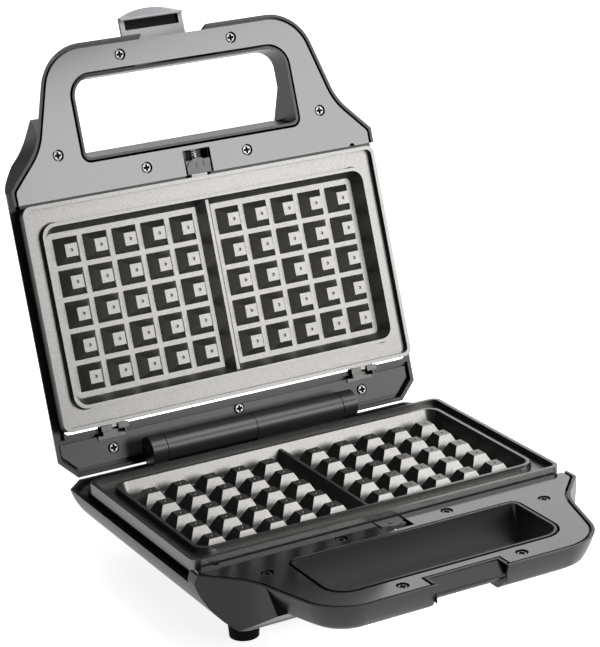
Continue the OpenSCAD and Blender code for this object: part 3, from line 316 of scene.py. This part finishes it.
def finish_mesh(name, mesh, body, material, node=None, bevel_mm=0.0, segments=3, angle=28, inlay=None):
    """Links a mesh as one piece. An inlay is a second material and the test that picks its faces."""
    piece = bpy.data.objects.new(name, mesh)
    bpy.context.collection.objects.link(piece)
    inlaid = [bool(inlay and inlay[1](face)) for face in mesh.polygons]
    mesh.materials.clear()
    mesh.materials.append(material)
    if inlay:
        mesh.materials.append(inlay[0])
    for face, second in zip(mesh.polygons, inlaid):
        face.use_smooth = True
        face.material_index = int(second)
    if bevel_mm:
        bevel = piece.modifiers.new("edge radius", "BEVEL")
        bevel.width = bevel_mm * MM
        bevel.segments = segments
        bevel.limit_method = "ANGLE"
        bevel.angle_limit = radians(angle)
        bevel.use_clamp_overlap = True
        flat = piece.modifiers.new("flat faces stay flat", "WEIGHTED_NORMAL")
        flat.mode = "FACE_AREA"
        flat.weight = 100
    else:
        mesh.set_sharp_from_angle(angle=radians(angle))
    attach(piece, body)
    if node:
        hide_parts(node)
    return piece


def dress(node, material, bevel_mm=0.3, segments=3, angle=28, inlay=None, shape=None):
    """Copies a CAD node with merged, dissolved faces and rounded edges; shape may rework the copy."""
    bm = bmesh.new()
    bm.from_mesh(nodes[node].data)
    bmesh.ops.remove_doubles(bm, verts=bm.verts, dist=0.002 * MM)
    bmesh.ops.dissolve_limit(bm, angle_limit=radians(0.5), verts=bm.verts, edges=bm.edges)
    if shape:
        shape(bm)
    mesh = bpy.data.meshes.new(node + "_softened")
    bm.to_mesh(mesh)
    bm.free()
    return finish_mesh(node + "_softened", mesh, body_of(node), material, node,
                       bevel_mm, segments, angle, inlay)


# %% [markdown]
# ## Housings, covers and plates

# %% Main shells
for half in ("base", "lid"):
    dress(half + "_housing", housing_abs, 0.45)
    dress(half + "_inner_cover", cover_gloss, 0.35)
    dress(half + "_hinge_cover", hinge_abs, 0.4)
    dress(half + "_plate_clips", clip_steel, 0.12)
    dress(half + "_release_button", button_abs, 0.2)
for plate in ("lower_waffle_plate", "upper_waffle_plate"):
    dress(plate, plate_coat, 0.5)
dress("feet", foot_rubber, 0.6)

# %% [markdown]
# ## Screws
#
# Cross-head screws of zinc steel. The cross, the rounding and the shank get a near-black metal as painted
# shade, and so does a thin ring round each head's flat top; only the middle of the top is plain steel.

# %% Screws
COVER_HEAD_W = -2.2
HINGE_HEAD_W = -9.5
SHADED_HEAD_EDGE = 0.22


def paint_shade_around_head_tops(half, head_w):
    """Returns a shape function that leaves only the middle of each head's flat top in the first material;
    every other face gets the second, the painted shade.
    """
    to_half = HALF[half].inverted()

    def shape(bm):
        tops = [f for f in bm.faces if (to_half @ f.calc_center_median()).z > head_w - 0.05]
        bmesh.ops.inset_region(bm, faces=tops, thickness=SHADED_HEAD_EDGE * MM, use_even_offset=True)
        kept = set(tops)
        for face in bm.faces:
            face.material_index = 0 if face in kept else 1
    return shape


def is_painted_shade_face(face):
    """True for a face that a shape function gave the second material, the painted shade."""
    return face.material_index == 1


for half in ("base", "lid"):
    for name, head_w in (("_cover_screws", COVER_HEAD_W), ("_hinge_screws", HINGE_HEAD_W)):
        dress(half + name, screw_steel, inlay=(painted_shade_screw_metal, is_painted_shade_face),
              shape=paint_shade_around_head_tops(half, head_w), bevel_mm=0)
print("screws dressed")

# %% [markdown]
# ## Latch
#
# The free end of the latch is an arc seen from the front, not a straight edge. The copy is cut into strips
# across its width, and the tip of every strip is drawn out or in along the arc. Cut lines that fall beside the
# edges of the bowed face are merged with them, which keeps that face free of creases. The pocket that takes
# the rib of the base is deep; its faces get a near-black plastic as painted shade.

# %% Latch
LATCH_Y = 134.6
LATCH_W = 14.1
LATCH_HALF = 19.9
TIP_START = 29.5
TIP_ARC = 3.6
TIP_END = 1.0
STRIP = 2.2
STRIP_CUTS = 8
STRIP_MERGE = 0.06
POCKET_ALONG = (21.0, 27.5)
POCKET_HALF = 17.6
POCKET_DEPTH = (-17, -14.6)
LID_BACK = HALF["lid"].inverted()


def latch_place(point):
    """Place along the lever, and depth from its pivot, of a point of the closed latch on the open lid."""
    p = LID_BACK @ point
    return p, -p.y - LATCH_Y, p.z + LATCH_W


def arc_tip(bm):
    """Cuts the latch into strips and draws its tip out along an arc."""
    for step in range(-STRIP_CUTS, STRIP_CUTS):
        bmesh.ops.bisect_plane(bm, geom=bm.verts[:] + bm.edges[:] + bm.faces[:],
                               plane_co=((step + 0.5) * STRIP * MM, 0, 0), plane_no=(1, 0, 0))
    bmesh.ops.remove_doubles(bm, verts=bm.verts, dist=STRIP_MERGE * MM)
    for vert in bm.verts:
        p, along, _ = latch_place(vert.co)
        if along > TIP_START:
            p.y -= TIP_ARC * (1 - (p.x / LATCH_HALF) ** 2) - TIP_END
            vert.co = HALF["lid"] @ p


def in_painted_shade_pocket(face):
    """True for the faces inside the hook pocket of the latch, which get the painted shade."""
    p, along, depth = latch_place(face.center)
    inside = POCKET_ALONG[0] < along < POCKET_ALONG[1] and abs(p.x) < POCKET_HALF
    return inside and POCKET_DEPTH[0] < depth < POCKET_DEPTH[1]


dress("latch_lever", latch_silver, 0.4, inlay=(painted_shade_latch_pocket, in_painted_shade_pocket), shape=arc_tip)
print("latch dressed")

# %% [markdown]
# ## Return springs
#
# Each release button sits on a small compression spring, wound here as a real helix whose end coils lie
# closer together.

# %% Springs
SPRING_Y = -74.75
SPRING_W = -6.4
SPRING_R = 2.0
SPRING_WIRE = 0.42
SPRING_L = 6.08
SPRING_TURNS = 5
WIRE_SIDES = 10
STEPS_A_TURN = 28
EVEN_SHARE = 0.7


def wound_spring(node, half):
    """A helix of round wire along Y in a half frame, standing for a CAD spring."""
    bm = bmesh.new()
    rings = []
    count = SPRING_TURNS * STEPS_A_TURN
    for i in range(count + 1):
        share = i / count
        turn = 2 * pi * SPRING_TURNS * share
        eased = share * share * (3 - 2 * share)
        outward = Vector((cos(turn), 0, sin(turn)))
        advance = EVEN_SHARE * share + (1 - EVEN_SHARE) * eased
        middle = Vector((0, SPRING_Y - SPRING_L * advance, SPRING_W)) + SPRING_R * outward
        ring = []
        for k in range(WIRE_SIDES):
            a = 2 * pi * k / WIRE_SIDES
            offset = SPRING_WIRE * (cos(a) * outward + sin(a) * Vector((0, 1, 0)))
            ring.append(bm.verts.new(HALF[half] @ (middle + offset)))
        rings.append(ring)
    for one, two in zip(rings, rings[1:]):
        for k in range(WIRE_SIDES):
            bm.faces.new((one[k], one[(k + 1) % WIRE_SIDES], two[(k + 1) % WIRE_SIDES], two[k]))
    bm.faces.new(rings[0][::-1])
    bm.faces.new(rings[-1])
    bmesh.ops.recalc_face_normals(bm, faces=bm.faces)
    mesh = bpy.data.meshes.new(node + "_wound")
    bm.to_mesh(mesh)
    bm.free()
    return finish_mesh(node + "_wound", mesh, body_of(node), spring_steel, node)


def shorten_when_pressed(piece):
    """Gives a spring a mesh of its own; it does not yet shorten as its button is pressed."""
    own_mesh(piece)


for half in ("base", "lid"):
    shorten_when_pressed(wound_spring(half + "_release_spring", half))
print("springs wound")

# %% [markdown]
# ## Pieces that keep their CAD shape

# %% Plain finishes on CAD nodes
KEPT = {
    "hinge_pin": pin_steel, "latch_pin": pin_steel,
    "base_reflector": reflector_sheet, "lid_reflector": reflector_sheet,
    "base_heating_element": element_sheath, "lid_heating_element": element_sheath,
    "base_element_clamps": clip_steel, "lid_element_clamps": clip_steel,
    "thermostat": thermostat_metal, "thermal_fuse": fuse_sleeve, "terminal_block": block_nylon,
    "base_wiring": wire_silicone, "lid_wiring": wire_silicone, "cord_gland": gland_abs,
    "lamp_board": board_mask, "indicator_lenses": lens_amber,
}
for name, material in KEPT.items():
    data = nodes[name].data
    data.materials.clear()
    data.materials.append(material)
print("kept CAD nodes:", len(KEPT))

# %% [markdown]
# ## Stage
#
# A white floor in a dark room. The camera, glossy rays and rays through glass see some extra white on it, so
# that the ground reads as plain white while the object's own shadow stays on it.

# %% Floor and room
def stage_white(name, glow):
    """Matt white with a glow that lights nothing: only seen directly, in gloss or through glass."""
    mat, tree, shader = new_material(name)
    shader.inputs["Base Color"].default_value = linear("#f0f0f0")
    shader.inputs["Roughness"].default_value = 0.9
    path = add(tree, "ShaderNodeLightPath")
    gloss = add(tree, "ShaderNodeMath", {"operation": "MAXIMUM"},
                _0=path.outputs["Is Camera Ray"], _1=path.outputs["Is Glossy Ray"])
    seen = add(tree, "ShaderNodeMath", {"operation": "MAXIMUM"},
               _0=gloss.outputs[0], _1=path.outputs["Is Transmission Ray"])
    level = add(tree, "ShaderNodeMath", {"operation": "MULTIPLY"}, _0=seen.outputs[0], _1=glow)
    tree.links.new(level.outputs[0], shader.inputs["Emission Strength"])
    shader.inputs["Emission Color"].default_value = (1, 1, 1, 1)
    return mat


def stage_plane(name, at, turn_x, size, material):
    """A square of the stage, turned about X by the given angle."""
    bm = bmesh.new()
    bmesh.ops.create_grid(bm, x_segments=1, y_segments=1, size=size)
    place = Matrix.Translation(at) @ Matrix.Rotation(radians(turn_x), 4, "X")
    bmesh.ops.transform(bm, matrix=place, verts=bm.verts)
    mesh = bpy.data.meshes.new(name)
    bm.to_mesh(mesh)
    bm.free()
    mesh.materials.append(material)
    plane = bpy.data.objects.new(name, mesh)
    bpy.context.collection.objects.link(plane)
    return plane


def make_world(level):
    """A dark room: the same dim grey from every side."""
    world = bpy.data.worlds.new("room")
    world.use_nodes = True
    bpy.context.scene.world = world
    shade = world.node_tree.nodes["Background"]
    shade.inputs["Color"].default_value = (1, 1, 1, 1)
    shade.inputs["Strength"].default_value = level


floor = stage_plane("floor", (0, 0, 0), 0, 6, stage_white("floor_white", 0.86))
make_world(0.06)
print("stage set")

# %% [markdown]
# ## Lamps
#
# One softbox in front to the right stands where the open lid mirrors it to the camera, so the gloss cover
# turns silver and the coated plate is pale. A high lamp models the base, a wide one behind edges its plate,
# and a weak lamp overhead opens the shadows.

# %% Lamps
def soft_lamp(name, at, target, size, radiance):
    """An area lamp aimed at a point, in metres; radiance 1 looks as bright as white paper."""
    data = bpy.data.lights.new(name, "AREA")
    data.shape = "RECTANGLE"
    data.size, data.size_y = size
    data.energy = radiance * pi * size[0] * size[1]
    lamp = bpy.data.objects.new(name, data)
    aim = (Vector(target) - Vector(at)).to_track_quat("-Z", "Y")
    lamp.matrix_world = Matrix.Translation(at) @ aim.to_matrix().to_4x4()
    lamp.visible_camera = False
    bpy.context.collection.objects.link(lamp)
    return lamp


soft_lamp("front_softbox", (0.65, -1.03, 0.52), (0, 0.1, 0.22), (0.66, 0.52), 11.3)
soft_lamp("back_softbox", (0.9, 1.75, 0.85), (0.05, -0.05, 0.05), (2.1, 0.9), 2.3)
soft_lamp("high_key", (0.76, -0.75, 1.75), (0, 0.12, 0.15), (1.0, 1.0), 9)
soft_lamp("top_fill", (0.0, -0.2, 1.9), (0, 0, 0.1), (1.6, 1.6), 0.6)

# %% [markdown]
# ## Colour and finish
#
# The Standard view keeps colours as they are written.

# %% Finish
bpy.context.scene.view_settings.view_transform = "Standard"
